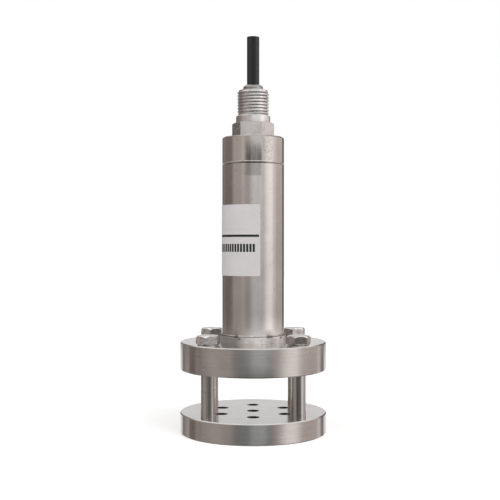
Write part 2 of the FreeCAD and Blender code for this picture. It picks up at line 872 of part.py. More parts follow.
def label():
    """Foil label wrapped round the front left of the tube, with rounded corners."""
    sweep = math.degrees(label_width / tube_radius)
    first = label_right_edge_angle - sweep - 90.0
    bottom = label_bottom_height
    top = bottom + label_height
    inner = tube_radius + label_glue_gap
    outer = inner + label_thickness
    foot = Vector(0, 0, bottom)
    axis = Vector(0, 0, 1)
    sheet = Part.makeCylinder(outer, label_height, foot, axis, sweep)
    sheet = sheet.cut(Part.makeCylinder(inner, label_height, foot, axis, sweep))
    corners = []
    for edge in sheet.Edges:
        radial = abs(edge.Length - label_thickness) < 0.01
        if radial and min(abs(edge.CenterOfMass.z - bottom), abs(edge.CenterOfMass.z - top)) < 0.01:
            corners.append(edge)
    sheet = sheet.makeFillet(label_corner_radius, corners)
    return sheet.rotated(Vector(0, 0, 0), Vector(0, 0, 1), first)


def cable_tail():
    """The cable's end in the fitting, up to the gland's floor."""
    return cylinder(cable_radius, cable_tail_bottom, gland_floor)


def cable_run():
    """The cable from the gland's floor up, with a seat in its cut end for each core and the vent."""
    cuts = []
    for x, y in core_places():
        cuts.append(cylinder(lead_diameter / 2, cable_end - core_length, cable_end, x, y))
    return cylinder(cable_radius, gland_floor, cable_end).cut(cuts)


def core_places():
    """Three cores and the vent tube, evenly round the cable's middle."""
    return on_circle(core_circle, core_count + 1, 45.0)


def cable_cores():
    """Cores in the cable's cut end, a little proud of the sheath."""
    cores = []
    for x, y in core_places()[:core_count]:
        cores.append(cylinder(lead_diameter / 2, cable_end - core_length, cable_end + core_proud, x, y))
    return Part.makeCompound(cores)


def cable_vent():
    """Open end of the vent tube in the cable's cut end."""
    x, y = core_places()[core_count]
    low = cable_end - core_length
    high = cable_end + core_proud
    return cylinder(lead_diameter / 2, low, high, x, y).cut(cylinder(vent_bore / 2, low, high, x, y))


PIECES = {
    "guard_plate": guard_plate,
    "sensor_flange": sensor_flange,
    "tie_bolts": tie_bolts,
    "body_tube": body_tube,
    "hub_weld": hub_weld,
    "clamp_ring": clamp_ring,
    "clamp_screws": clamp_screws,
    "diaphragm": diaphragm,
    "diaphragm_seal": diaphragm_seal,
    "sensor_capsule": sensor_capsule,
    "capsule_seal": capsule_seal,
    "capsule_ring": capsule_ring,
    "header_pins": header_pins,
    "board_cradle": board_cradle,
    "circuit_board": circuit_board,
    "board_components": board_components,
    "terminal_block": terminal_block,
    "terminal_screws": terminal_screws,
    "sensor_wires": sensor_wires,
    "vent_tube": vent_tube,
    "inner_leads": inner_leads,
    "top_cap": top_cap,
    "cap_seal": cap_seal,
    "conduit_fitting": conduit_fitting,
    "fitting_seal": fitting_seal,
    "gland_washer": gland_washer,
    "cable_grommet": cable_grommet,
    "cable_ferrule": cable_ferrule,
    "label": label,
    "cable_tail": cable_tail,
    "cable_run": cable_run,
    "cable_cores": cable_cores,
    "cable_vent": cable_vent,
}


def main():
    """Build every piece and write it to its own file."""
    os.makedirs("parts", exist_ok=True)
    for name, build in PIECES.items():
        shape = build()
        if not shape.isValid():
            print("not valid", name)
        shape.exportStep(f"parts/{name}.step")
        print(name, len(shape.Solids), round(shape.Volume, 2))


main()
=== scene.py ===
"""Looks of the submersible level transmitter: materials, thread, weld, cable, light and camera.

Lengths are in millimetres and angles in degrees, also inside the materials. MM turns lengths
into the scene's metres. Angles round the part start at its front and grow towards its right.
"""

import math
from functools import cached_property

import bmesh
import bpy
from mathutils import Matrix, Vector, noise


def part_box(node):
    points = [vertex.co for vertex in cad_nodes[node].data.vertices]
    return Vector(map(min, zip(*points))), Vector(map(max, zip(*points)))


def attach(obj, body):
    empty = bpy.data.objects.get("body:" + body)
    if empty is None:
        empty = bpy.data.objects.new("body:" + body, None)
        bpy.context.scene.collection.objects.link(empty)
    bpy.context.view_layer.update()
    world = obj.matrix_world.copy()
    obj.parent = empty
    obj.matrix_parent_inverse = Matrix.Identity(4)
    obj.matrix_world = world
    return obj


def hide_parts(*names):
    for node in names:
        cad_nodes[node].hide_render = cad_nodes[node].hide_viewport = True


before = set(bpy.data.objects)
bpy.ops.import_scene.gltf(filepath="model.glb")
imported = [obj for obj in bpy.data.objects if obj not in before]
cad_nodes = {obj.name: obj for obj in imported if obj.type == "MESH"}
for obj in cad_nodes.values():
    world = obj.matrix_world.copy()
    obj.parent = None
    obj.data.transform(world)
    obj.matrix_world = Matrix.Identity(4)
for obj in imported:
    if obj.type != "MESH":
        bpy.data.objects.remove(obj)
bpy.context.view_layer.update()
MM = 0.001

# Sockets of a colour mix: its factor and its two colours go in, and one colour comes out
mix_inputs = (0, 6, 7)
mix_output = 2

# Camera, solved from the photograph's ellipses, with its tilt downwards
camera_place = (-2.15, -648.9, 127.6)
camera_tilt = 0.265
camera_lens = 67.94
camera_sensor = 36.0
camera_near = 10.0
camera_far = 20000.0

# Studio that the metal sees: a warm grey room round the part. Heights in it are sines of the elevation.
room_colour = (0.42, 0.37, 0.345)
# The room brightens upwards: between these heights, by these factors
room_rise_span = (-0.07, 0.23)
room_rise = (1.0, 1.5)
nadir_colour = (0.27, 0.25, 0.24)
nadir_fade = (-0.62, -0.34)
overhead_colour = (1.15, 1.15, 1.14)
overhead_fade = (0.42, 0.72)
# The table's far edge parts the upper directions from the lower ones
table_horizon = -0.102
horizon_softness = 0.012
# White backdrop behind the part: angle from which it is full on either side, softness and colour
studio_backdrop = {
    "upper": (170.0, 6.0, (0.81, 0.80, 0.80)),
    "lower": (150.0, 6.0, (0.94, 0.93, 0.93)),
}
# Soft lights by name: angle, half width, softness, colour added, and which directions they fill
studio_panels = {
    "key": (61.5, 4.0, 23.0, (0.62, 0.60, 0.61), "all"),
    "key_core": (80.0, 5.0, 17.0, (0.21, 0.22, 0.24), "upper"),
    "key_side": (39.0, 3.0, 14.0, (0.15, 0.16, 0.17), "upper"),
    "right_wall": (112.0, 22.0, 16.0, (0.15, 0.13, 0.12), "all"),
    "front_board": (12.0, 10.0, 20.0, (0.24, 0.29, 0.31), "upper"),
    "left_shoulder": (-38.0, 3.0, 8.0, (0.10, 0.10, 0.10), "upper"),
    "left_lower": (-62.0, 4.0, 12.0, (0.065, 0.06, 0.055), "lower"),
    "left_glint": (-121.0, 1.5, 5.0, (0.18, 0.18, 0.18), "lower"),
    "right_glint": (125.0, 2.0, 6.0, (0.26, 0.26, 0.26), "lower"),
}
# Flags by name: angle, half width, softness, share of each colour that they let through, and directions
studio_flags = {
    "front_dark": (-18.0, 9.0, 10.0, (0.54, 0.63, 0.69), "lower"),
    "front_grey": (8.0, 12.0, 6.0, (0.92, 1.08, 1.16), "lower"),
    "front_gap": (26.0, 3.0, 7.0, (0.61, 0.68, 0.73), "lower"),
    "left_flag": (-108.0, 18.0, 16.0, (0.50, 0.47, 0.46), "upper"),
    "left_low_flag": (-111.0, 5.0, 9.0, (0.50, 0.47, 0.46), "lower"),
    "left_line": (-91.0, 1.0, 3.0, (0.74, 0.72, 0.71), "lower"),
    "left_rear_flag": (-156.0, 16.0, 8.0, (0.46, 0.48, 0.50), "all"),
    "right_rear_flag": (138.0, 3.0, 6.0, (0.35, 0.36, 0.37), "lower"),
    "right_edge_flag": (158.0, 13.0, 9.0, (0.16, 0.17, 0.18), "upper"),
}

# Light for the plain surfaces: an even room, and lamps with their place, apparent size and strength
room_light_colour = (1.0, 0.99, 0.98)
room_light_level = 0.5
lamps = {
    "key_lamp": ((420.0, -560.0, 620.0), 34.0, 0.95),
    "fill_lamp": ((-620.0, -520.0, 380.0), 60.0, 0.75),
}

# Floor
floor_size = 6000.0
floor_albedo = 0.85
floor_camera_glow = 0.45

# Sizes of the part, read from the frame
tube_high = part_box("body_tube")[1]
flange_low, flange_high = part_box("sensor_flange")
fitting_low, fitting_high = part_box("conduit_fitting")
cable_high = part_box("cable_run")[1]
label_low, label_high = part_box("label")
tube_radius = tube_high.x / MM
tube_degree = math.radians(tube_radius)
tube_top = tube_high.z / MM
hub_top = flange_high.z / MM
hub_height = 4.7
flange_top = hub_top - hub_height
# Levels just over the flange's top, where the tints of the hub and of the heads begin
hub_foot = flange_top + 0.05
head_foot = flange_top + 0.1
flange_bottom = flange_low.z / MM
cap_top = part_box("top_cap")[1].z / MM
fitting_bottom = fitting_low.z / MM
fitting_top = fitting_high.z / MM
cable_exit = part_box("cable_ferrule")[1].z / MM
cable_end = cable_high.z / MM
cable_radius = cable_high.x / MM
bolt_offset = 29.7

# Conduit fitting
fitting_columns = 96
fitting_bore_radius = 5.5
fitting_shank_radius = 9.45
shank_chamfer = 0.5
fitting_flats = 25.2
fitting_turn = -36.0
fitting_hex_height = 10.0
hex_chamfer_share = 0.53
hex_rim_radius = hex_chamfer_share * fitting_flats
hex_chamfer_angle = 30.0
collar_radius = 11.75
collar_height = 4.9
collar_chamfer = 0.5
collar_foot_chamfer = 0.3
thread_crest_radius = 10.7
thread_pitch = 2.13
thread_depth = 0.95
# Share of the thread's depth at even steps along one pitch
thread_form = (0.0, 0.3, 0.75, 0.97, 1.0, 1.0, 1.0, 1.0, 0.97, 0.75, 0.3, 0.0)
thread_run_out = 1.5
thread_spare_rows = 2
gland_radius = 6.7
gland_depth = 21.0
gland_floor = fitting_top - gland_depth

# Meshes: points nearer than this are one point, and edges sharper than this show
merge_distance = 0.0001
sharp_edge = 32.0
sharp_bead_edge = 60.0

# Smoothness of the cable's curve, along it and round it
cable_steps = 8
cable_round_steps = 10

# Pale packing in the cable's cut end: it starts inside the sheath and stands out very slightly
filler_columns = 48
filler_radius = cable_radius - 1.15
filler_heart = 0.4
filler_rounding = 0.2
filler_heights = (-0.4, 0.02, 0.06)

# Weld bead round the tube's foot, sunk a little into the tube and the hub
bead_columns = 288
bead_points = 10
bead_size = 0.95
bead_sink = 0.02
bead_ripple_count = 64
bead_ripple = 0.05
bead_wander = 0.07
bead_wander_waves = 7.0

# Ground weld round the seam between the tube and the cap. Its outline is in shares of swell and half height.
seam_columns = 144
seam_lift = 0.65
seam_half_height = 0.5
seam_swell = 0.16
seam_sink = 0.03
seam_wander = 0.05
seam_wander_waves = 5.0
seam_noise_height = 3.0
seam_outline = ((-0.05, -1.0), (0.55, -0.75), (1.0, -0.2), (1.0, 0.2), (0.55, 0.75), (-0.05, 1.0))

# Label print: one rule and a row of plain blocks, heights above the label's lower edge
rule_height = 26.9
rule_thickness = 1.6
rule_end_gap = 0.8
block_row_height = 18.8
block_height = 5.4
block_pitch = 2.15
block_fill = 0.72
block_right_gap = 3.6
block_row_length = 34.0
paper_tones = ((0.635, 0.605, 0.61), (0.71, 0.685, 0.695))
ink_tones = ((0.006, 0.006, 0.007), (0.02, 0.02, 0.021))
paper_roughness = 0.42
paper_relief = 0.015
paper_relief_strength = 0.4

# Noise by name: waves per millimetre, one number or one each for x, y and z, then detail and roughness
noises = {
    "turned_fine": ((0.045, 0.045, 2.6), 3.0, 0.6),
    "turned_broad": ((0.022, 0.022, 0.7), 2.0, 0.5),
    "drawn_fine": ((1.5, 1.5, 0.018), 3.0, 0.6),
    "drawn_broad": ((0.42, 0.42, 0.009), 2.0, 0.5),
    "steel_cloud": (0.055, 4.0, 0.55),
    "steel_specks": (0.42, 2.0, 0.5),
    "patch_edge": (0.16, 4.0, 0.6),
    "patch_streaks": ((0.65, 0.65, 0.03), 3.0, 0.6),
    "cap_mottle": (0.62, 2.0, 0.5),
    "reflection_spot_edge": (0.9, 3.0, 0.6),
    "weld_blotches": (0.33, 3.0, 0.6),
    "weld_grain": (1.5, 2.0, 0.5),
    "hub_streaks": (0.24, 3.0, 0.6),
    "head_patches": (0.42, 4.0, 0.62),
    "head_face": (0.65, 4.0, 0.6),
    "fitting_face": (0.38, 4.0, 0.6),
    "fitting_cloud": (0.15, 4.0, 0.6),
    "moulded_cloud": (0.13, 3.0, 0.5),
    "moulded_grain": (1.8, 2.0, 0.5),
    "sheath_marks": ((0.9, 0.9, 0.025), 3.0, 0.55),
    "sheath_dust": (0.7, 3.0, 0.6),
    "paper_cloud": (0.09, 4.0, 0.55),
    "paper_fibre": (0.9, 3.0, 0.6),
}

# Metals by name: roughness, then the dark and the light tone
metals = {
    "turned": (0.18, (0.50, 0.475, 0.455), (0.66, 0.645, 0.635)),
    "bolt": (0.2, (0.44, 0.415, 0.395), (0.62, 0.60, 0.58)),
    "inner": (0.3, (0.56, 0.55, 0.54), (0.68, 0.67, 0.66)),
    "fitting": (0.34, (0.66, 0.65, 0.64), (0.95, 0.945, 0.94)),
    "ferrule": (0.3, (0.27, 0.26, 0.255), (0.42, 0.41, 0.405)),
    "brass": (0.25, (0.62, 0.46, 0.2), (0.78, 0.62, 0.32)),
}
# Plastics by material name: colour, roughness, relief of the grain and how far the tone varies
plastics = {
    "seal_rubber": ((0.025, 0.025, 0.026), 0.55, 0.04, 0.12),
    "lead_sheath": ((0.48, 0.06, 0.05), 0.35, 0.01, 0.12),
    "vent_plastic": ((0.78, 0.78, 0.74), 0.3, 0.01, 0.05),
    "cradle_plastic": ((0.62, 0.62, 0.6), 0.45, 0.04, 0.12),
    "board_laminate": ((0.02, 0.16, 0.07), 0.3, 0.01, 0.12),
    "chip_plastic": ((0.03, 0.03, 0.03), 0.5, 0.04, 0.12),
    "terminal_plastic": ((0.06, 0.3, 0.12), 0.4, 0.04, 0.12),
    "filler_fibre": ((0.5, 0.5, 0.48), 0.7, 0.08, 0.2),
}

# Below, a span is where a ramp begins and ends, and an edge is where a mark fades out

# Machined metal: how the marks slant outwards, how tone and roughness vary, specks and relief
marks_slant = 1.3
cloud_share = 0.7
tone_span = (0.2, 0.8)
speck_span = (0.66, 0.78)
speck_cover = 0.55
speck_tone = 0.62
roughness_step = 0.06
broad_relief_share = 0.7
marks_relief = 0.008
marks_relief_strength = 0.35

# Dark patch in front of the seam: edges round the tube, and over and under the tube's top
patch_middle = 0.6
patch_side_edge = (14.3, 21.8)
patch_side_wander = 6.9
patch_upper_edge = (10.0, 20.0)
patch_upper_wander = 6.0
patch_lower_edge = (-9.5, -8.0)
patch_on_tube = 0.58
patch_streak_span = (0.35, 0.6)
patch_streaks = (0.75, 1.0)
patch_fade_span = (1.0, 13.0)
patch_fade = (1.0, 0.78)
cap_stain_and_shade_depth = 0.66
tube_stain_and_reflection_depth = 0.52

# Cap: a dark mottle to the right of the patch, partly the steel's own and partly painted shade that dims the
# highlight, and painted shade along the upper rim that deepens towards the sides
mottle_middle = 27.0
mottle_edge = (6.0, 17.0)
mottle_span = (0.3, 0.7)
mottle_and_shade_depth = 0.36
rim_shade_below_top = (1.1, 0.8)
rim_shade_side_span = (15.0, 40.0)
rim_shade_depth = (0.35, 0.85)

# Painted reflections of the bolt heads: dark spots beside the weld, by angle round the tube, height over the
# hub, and size
weld_reflection_spots = (
    (-31.0, 0.0, 1.25), (28.0, 0.0, 1.3), (33.0, 0.0, 1.2),
    (-25.0, -1.5, 0.85), (57.0, -1.1, 1.0), (140.0, 0.3, 0.9),
)
reflection_spot_edge = (0.6, 1.5)
reflection_spot_wander = 0.9
reflection_spot_lengthening = 2.0

# Painted shade in the creases on either side of the weld, and painted shade on the lower front of the flange
hub_crease_shade_below_top = (0.45, 0.2)
hub_crease_shade_depth = 0.8
bead_crease_shade_edge = (0.21, 0.39)
bead_crease_shade_depth = 0.85
flange_shade_middle = 4.0
flange_shade_edge = (5.7, 18.3)
flange_shade_height = 10.0
flange_shade_depth = 0.5
flange_painted_shade_depth = 0.7

# Steel lighter round the weld, partly from cleaning and partly painted light: full on the front, less on the
# right, none on the left, with a painted highlight along the hub's lip; and rougher where it was rubbed
cleaned_colour = (0.94, 0.925, 0.915)
cleaned_left_edge = (-34.0, -4.0)
cleaned_right_edge = (52.0, 80.0)
cleaned_right_share = 0.4
cleaned_reach = 17.0
cleaned_foot_share = 0.75
cleaned_streak_span = (0.38, 0.62)
cleaned_streaks = (0.45, 0.95)
cleaned_lip_below_top = (1.7, 1.2)
rubbed_reach = 9.0
rubbed_foot_share = 0.6
rubbed_roughness = 0.34

# Bolts: a painted dark reflection down each shank, painted light on the heads' chamfers and side faces, and
# a painted dark reflection on one face of the front right head
reflection_streak_middle_left = 17.0
reflection_streak_middle_right = -3.0
reflection_streak_edge = (9.0, 28.0)
reflection_streak_depth = 0.92
side_face_span = (0.55, 0.7)
side_face_painted_light = (0.3, 0.95)
chamfer_span = (0.3, 0.5)
chamfer_painted_light = 0.9
head_patch_span = (0.42, 0.62)
head_patch_depth = 0.4
head_inner_share = 0.35
head_rubbed_share = 0.3
dark_reflection_middle = 10.0
dark_reflection_edge = (5.7, 11.5)
dark_reflection_span = (0.4, 0.62)
dark_reflection_depth = (1.0, 0.8)
dark_reflection_foot = 1.6
bolt_mottle_and_reflection_depth = 0.62

# Conduit fitting: painted shade in the thread's roots, on the left side and on the hex's left face, and
# clouds of its own tone
root_shade_left_span = (-30.0, 0.0)
root_shade_left = (0.25, 1.0)
root_shade_below_top = 0.4
left_shade_span = (-75.0, -5.0)
left_shade_depth = 0.5
left_face_softness = 3.0
left_face_shade_depth = 0.85
left_face_span = (0.38, 0.62)
left_face_patches = (0.55, 1.0)
fitting_cloud_span = (0.42, 0.66)
fitting_cloud_depth = 0.3
fitting_shade_and_cloud_depth = 0.6

# Weld metal: its own tones, painted shade towards the bead's sides, painted reflections of the bolt heads,
# and painted shade in the bead's crease
weld_tones = ((0.46, 0.43, 0.41), (0.66, 0.64, 0.63))
weld_side_shade_tone = (0.26, 0.24, 0.23)
weld_side_shade_span = (25.0, 70.0)
weld_side_shade_share = 0.5
weld_blotch_span = (0.36, 0.56)
# Tone of the painted reflections of the bolt heads
weld_reflection_tone = (0.13, 0.10, 0.09)
# Tone of the painted shade in the bead's crease
weld_crease_shade_tone = (0.16, 0.145, 0.135)
weld_roughness = 0.34
weld_grain_relief = 0.03
grain_strength = 0.5
# Lower half of the seam's ridge: painted shade in front, painted highlight at the sides
seam_front_shade_tone = (0.2, 0.19, 0.18)
seam_side_highlight_tone = (0.95, 0.92, 0.90)
seam_side_highlight_span = (20.0, 32.0)
seam_shade_height = 0.3

# Cable sheath: base tones, dust and painted sheen bands
sheath_tones = ((0.006, 0.006, 0.0065), (0.015, 0.015, 0.015))
sheath_dust_tone = (0.08, 0.08, 0.075)
sheath_painted_sheen_tone = (0.085, 0.085, 0.08)
painted_sheen_right_span = (14.0, 40.0)
painted_sheen_right_share = 0.45
painted_sheen_left_span = (-26.0, -8.0)
painted_sheen_left_share = 0.22
sheath_dust_span = (0.5, 0.8)
sheath_dust_share = 0.12
sheath_roughness = 0.4
sheath_roughness_rise = 0.16
sheath_gloss = 0.3
sheath_relief = 0.05


class Nodes:
    """Short calls for the nodes of one node tree. Values are sockets or plain numbers."""

    def __init__(self, owner):
        owner.use_nodes = True
        self.tree = owner.node_tree
        self.tree.nodes.clear()

    def node(self, kind, **settings):
        made = self.tree.nodes.new(kind)
        for key, value in settings.items():
            setattr(made, key, value)
        return made

    def feed(self, socket, value):
        """Link a socket, or set a plain number, vector or colour."""
        if isinstance(value, bpy.types.NodeSocket):
            self.tree.links.new(value, socket)
        elif socket.type == "RGBA":
            socket.default_value = (*value, 1.0)
        else:
            socket.default_value = value

    def fed(self, kind, *values, **settings):
        """First output of a new node whose first inputs are fed."""
        made = self.node(kind, **settings)
        for socket, value in zip(made.inputs, values):
            self.feed(socket, value)
        return made.outputs[0]

    def calc(self, operation, *values):
        return self.fed("ShaderNodeMath", *values, operation=operation)

    def times(self, *values):
        product = values[0]
        for value in values[1:]:
            product = self.calc("MULTIPLY", product, value)
        return product

    def largest(self, *values):
        found = values[0]
        for value in values[1:]:
            found = self.calc("MAXIMUM", found, value)
        return found

    def add(self, base, value, factor=1.0):
        """The base plus a factor times the value."""
        return self.calc("MULTIPLY_ADD", value, factor, base)

    def distance(self, value, middle):
        return self.calc("ABSOLUTE", self.calc("SUBTRACT", value, middle))

    def hypotenuse(self, first, second):
        return self.calc("SQRT", self.add(self.times(first, first), self.times(second, second)))

    def over(self, value, limit):
        """1 where a value is over a limit, and 0 elsewhere."""
        return self.calc("GREATER_THAN", value, limit)

    def under(self, value, limit):
        return self.calc("LESS_THAN", value, limit)

    def within(self, value, low, high):
        return self.times(self.over(value, low), self.under(value, high))

    def band(self, value, middle, width):
        """1 within half a width of the middle, and 0 elsewhere."""
        return self.within(value, middle - width / 2, middle + width / 2)

    def turn(self, x, y):
        """Angle of a direction, from the part's front towards its right."""
        return self.calc("DEGREES", self.calc("ARCTAN2", x, self.times(y, -1.0)))

    def split(self, vector):
        made = self.node("ShaderNodeSeparateXYZ")
        self.feed(made.inputs[0], vector)
        return tuple(made.outputs)

    def stretched(self, vector, factors):
        """A vector whose parts are multiplied by one factor each."""
        return self.fed("ShaderNodeVectorMath", vector, factors, operation="MULTIPLY")

    def ramp(self, value, span, out=(0.0, 1.0), kind="SMOOTHSTEP"):
        """The first output below the span, the second above it, and between them inside it."""
        return self.fed("ShaderNodeMapRange", value, *span, *out, clamp=True, interpolation_type=kind)

    def mix(self, factor, first, second, kind="MIX"):
        made = self.node("ShaderNodeMix", data_type="RGBA", blend_type=kind)
        for place, value in zip(mix_inputs, (factor, first, second)):
            self.feed(made.inputs[place], value)
        return made.outputs[mix_output]


class Shader(Nodes):
    """One node material with a single surface shader."""

    def __init__(self, name):
        self.material = bpy.data.materials.new(name)
        super().__init__(self.material)
        self.surface = self.node("ShaderNodeBsdfPrincipled")
        self.feed(self.node("ShaderNodeOutputMaterial").inputs["Surface"], self.surface.outputs[0])
        self.coordinates = self.node("ShaderNodeTexCoord").outputs
        self.place = self.stretched(self.coordinates["Object"], (1.0 / MM, 1.0 / MM, 1.0 / MM))

    @cached_property
    def axes(self):
        return self.split(self.place)

    @cached_property
    def height(self):
        return self.axes[2]

    @cached_property
    def angle(self):
        return self.turn(self.axes[0], self.axes[1])

    @cached_property
    def normal(self):
        return self.split(self.coordinates["Normal"])

    def above(self, level):
        """Height over a level."""
        return self.calc("SUBTRACT", self.height, level)

    def noise(self, name, place=None):
        waves, detail, roughness = noises[name]
        place = self.place if place is None else place
        if isinstance(waves, tuple):
            place = self.stretched(place, waves)
            waves = 1.0
        made = self.node("ShaderNodeTexNoise")
        settings = {"Vector": place, "Scale": waves, "Detail": detail, "Roughness": roughness}
        for key, value in settings.items():
            self.feed(made.inputs[key], value)
        return made.outputs[0]

    def pattern(self, name, span, out=(0.0, 1.0)):
        """Noise sharpened by a ramp."""
        return self.ramp(self.noise(name), span, out)

    def bump(self, height, distance, strength):
        made = self.node("ShaderNodeBump")
        for key, value in {"Distance": distance * MM, "Strength": strength, "Height": height}.items():
            self.feed(made.inputs[key], value)
        self.set(Normal=made.outputs[0])

    def set(self, **values):
        for key, value in values.items():
            self.feed(self.surface.inputs[key.replace("_", " ")], value)


def scaled(colour, share):
    return tuple(share * part for part in colour)


def machined_metal(name, metal, stain_and_shade=None, depth=0.0, clean=None, centre=0.0, drawn=False):
    """Satin metal with tool marks, cloudy patches and small specks.

    The marks run round the part's axis, or round the four axes that stand centre to either side of it.
    Drawn ones run lengthwise. stain gives a dark mask, of stains, painted shade and painted reflections, and
    clean a lighter mask, of cleaning and painted light, and a rougher one.
    """
    shader = Shader(name)
    roughness, dark, light = metals[metal]
    x, y, height = shader.axes
    if centre:
        x, y = (shader.calc("SUBTRACT", shader.calc("ABSOLUTE", side), centre) for side in (x, y))
    outwards = shader.add(shader.hypotenuse(x, y), height, marks_slant)
    place = shader.fed("ShaderNodeCombineXYZ", x, y, outwards)
    lay = "drawn" if drawn else "turned"
    fine = shader.noise(f"{lay}_fine", place)
    broad = shader.noise(f"{lay}_broad", place)
    cloud = shader.noise("steel_cloud")
    tone = shader.add(shader.times(cloud, cloud_share), broad, 1.0 - cloud_share)
    colour = shader.mix(shader.ramp(tone, tone_span, kind="LINEAR"), dark, light)
    specks = shader.times(shader.pattern("steel_specks", speck_span), speck_cover)
    colour = shader.mix(specks, colour, scaled(dark, speck_tone))
    rough = shader.add(roughness - roughness_step, fine, roughness_step)
    rough = shader.add(rough, cloud, roughness_step)
    # Lighter steel, partly from cleaning and partly painted light, and rougher steel where rubbed
    if clean:
        cleaned, rubbed = clean(shader)
        colour = shader.mix(cleaned, colour, cleaned_colour)
        rough = shader.add(rough, rubbed, rubbed_roughness)
    # Darker steel: stains, painted shade and painted reflections
    if stain_and_shade:
        mask = stain_and_shade(shader)
        colour = shader.mix(mask, colour, scaled(dark, 1.0 - depth))
        rough = shader.add(rough, mask, roughness_step)
    shader.set(Base_Color=colour, Metallic=1.0, Roughness=rough)
    shader.bump(shader.add(fine, broad, broad_relief_share), marks_relief, marks_relief_strength)
    return shader.material


def seam_stain(shader):
    """Soft dark patch on the front, over the cap's foot and more faintly over the tube's top."""
    lift = shader.above(tube_top)
    ragged = shader.noise("patch_edge")
    side = shader.add(shader.distance(shader.angle, patch_middle), ragged, patch_side_wander)
    across = shader.ramp(side, patch_side_edge, (1.0, 0.0))
    streaks = shader.pattern("patch_streaks", patch_streak_span, patch_streaks)
    upper = shader.ramp(shader.add(lift, ragged, patch_upper_wander), patch_upper_edge, (1.0, 0.0))
    fade = shader.ramp(lift, patch_fade_span, patch_fade)
    on_tube = shader.ramp(lift, patch_lower_edge, (0.0, patch_on_tube))
    return shader.times(across, streaks, upper, fade, shader.largest(shader.over(lift, 0.0), on_tube))


def cap_stain_and_shade(shader):
    """The dark patch in front of the seam, a dark mottle to its right that is partly painted shade dimming
    the highlight, and painted shade along the upper rim.
    """
    # Painted shade along the upper rim, deeper towards the sides
    rim_span = [cap_top - below for below in rim_shade_below_top]
    around = shader.ramp(shader.calc("ABSOLUTE", shader.angle), rim_shade_side_span, rim_shade_depth)
    rim = shader.times(shader.ramp(shader.height, rim_span), around)
    # Dark mottle where the highlight falls: the steel's own mottle and painted shade
    aside = shader.distance(shader.angle, mottle_middle)
    mottle = shader.times(
        shader.ramp(aside, mottle_edge, (mottle_and_shade_depth, 0.0)),
        shader.pattern("cap_mottle", mottle_span),
    )
    return shader.largest(seam_stain(shader), rim, mottle)


def painted_reflections_by_weld(shader):
    """Painted reflections of the bolt heads: small dark spots beside the weld at the tube's foot."""
    ragged = shader.times(shader.noise("reflection_spot_edge"), reflection_spot_wander)
    spots = []
    for angle, lift, size in weld_reflection_spots:
        along = shader.times(
            shader.calc("SUBTRACT", shader.angle, angle),
            tube_degree / reflection_spot_lengthening,
        )
        away = shader.add(shader.hypotenuse(along, shader.above(hub_top + lift)), ragged)
        spots.append(shader.ramp(away, [share * size for share in reflection_spot_edge], (1.0, 0.0)))
    return shader.largest(*spots)


def hub_painted_shade_and_reflections(shader):
    """Painted reflections beside the weld, painted shade in the crease along the hub's upper edge, and
    painted shade on the flange's lower front.
    """
    # Painted shade in the crease along the hub's upper edge
    crease_span = [hub_top - below for below in hub_crease_shade_below_top]
    crease = shader.ramp(shader.height, crease_span, (0.0, hub_crease_shade_depth))
    aside = shader.distance(shader.angle, flange_shade_middle)
    # Painted shade on the flange's lower front
    shade = shader.times(
        shader.ramp(aside, flange_shade_edge, (1.0, 0.0)),
        shader.ramp(shader.above(flange_bottom), (0.0, flange_shade_height), (flange_shade_depth, 0.0)),
    )
    return shader.largest(painted_reflections_by_weld(shader), crease, shade)


def foot_stain_and_reflections(shader):
    """Painted reflections beside the weld at the tube's foot, and the dark patch in front of the seam above.
    """
    return shader.largest(painted_reflections_by_weld(shader), seam_stain(shader))


def cleaned_front(shader):
    """Share of the lighter steel round the part, partly cleaning and partly painted light: full on the
    front, less on the right and none on the left.
    """
    left = shader.ramp(shader.angle, cleaned_left_edge)
    right = shader.ramp(shader.angle, cleaned_right_edge, (1.0, cleaned_right_share))
    return shader.times(left, right)


def cleaned_tube(shader):
    """The tube's foot: how far it is lighter, by cleaning and painted light, and how far rubbed, strongest
    beside the weld.
    """
    lift = shader.above(hub_top)
    lighter = shader.ramp(lift, (0.0, cleaned_reach), (cleaned_foot_share, 0.0))
    rubbed = shader.ramp(lift, (0.0, rubbed_reach), (rubbed_foot_share, 0.0))
    return shader.times(lighter, cleaned_front(shader)), rubbed


def cleaned_hub(shader):
    """The hub: streaky lighter steel, partly cleaning and partly painted light, with a painted highlight
    along its lip, rubbed all over.
    """
    on_hub = shader.over(shader.height, hub_foot)
    streaks = shader.pattern("hub_streaks", cleaned_streak_span, cleaned_streaks)
    # Painted highlight along the hub's lip
    lip = shader.ramp(shader.height, [hub_top - below for below in cleaned_lip_below_top])
    lighter = shader.times(shader.largest(streaks, lip), cleaned_front(shader))
    return shader.times(on_hub, lighter), on_hub


def head_painted_light(shader):
    """Painted light on the heads: strongest on the top chamfers and on the faces turned to the sides."""
    sideways = shader.ramp(shader.calc("ABSOLUTE", shader.normal[0]), side_face_span, side_face_painted_light)
    upwards = shader.ramp(shader.normal[2], chamfer_span, (0.0, chamfer_painted_light))
    outwards = shader.over(shader.times(shader.normal[0], shader.axes[0]), 0.0)
    share = shader.times(shader.largest(sideways, upwards), shader.largest(outwards, head_inner_share))
    on_head = shader.over(shader.height, head_foot)
    return shader.times(share, on_head), shader.times(on_head, head_rubbed_share)


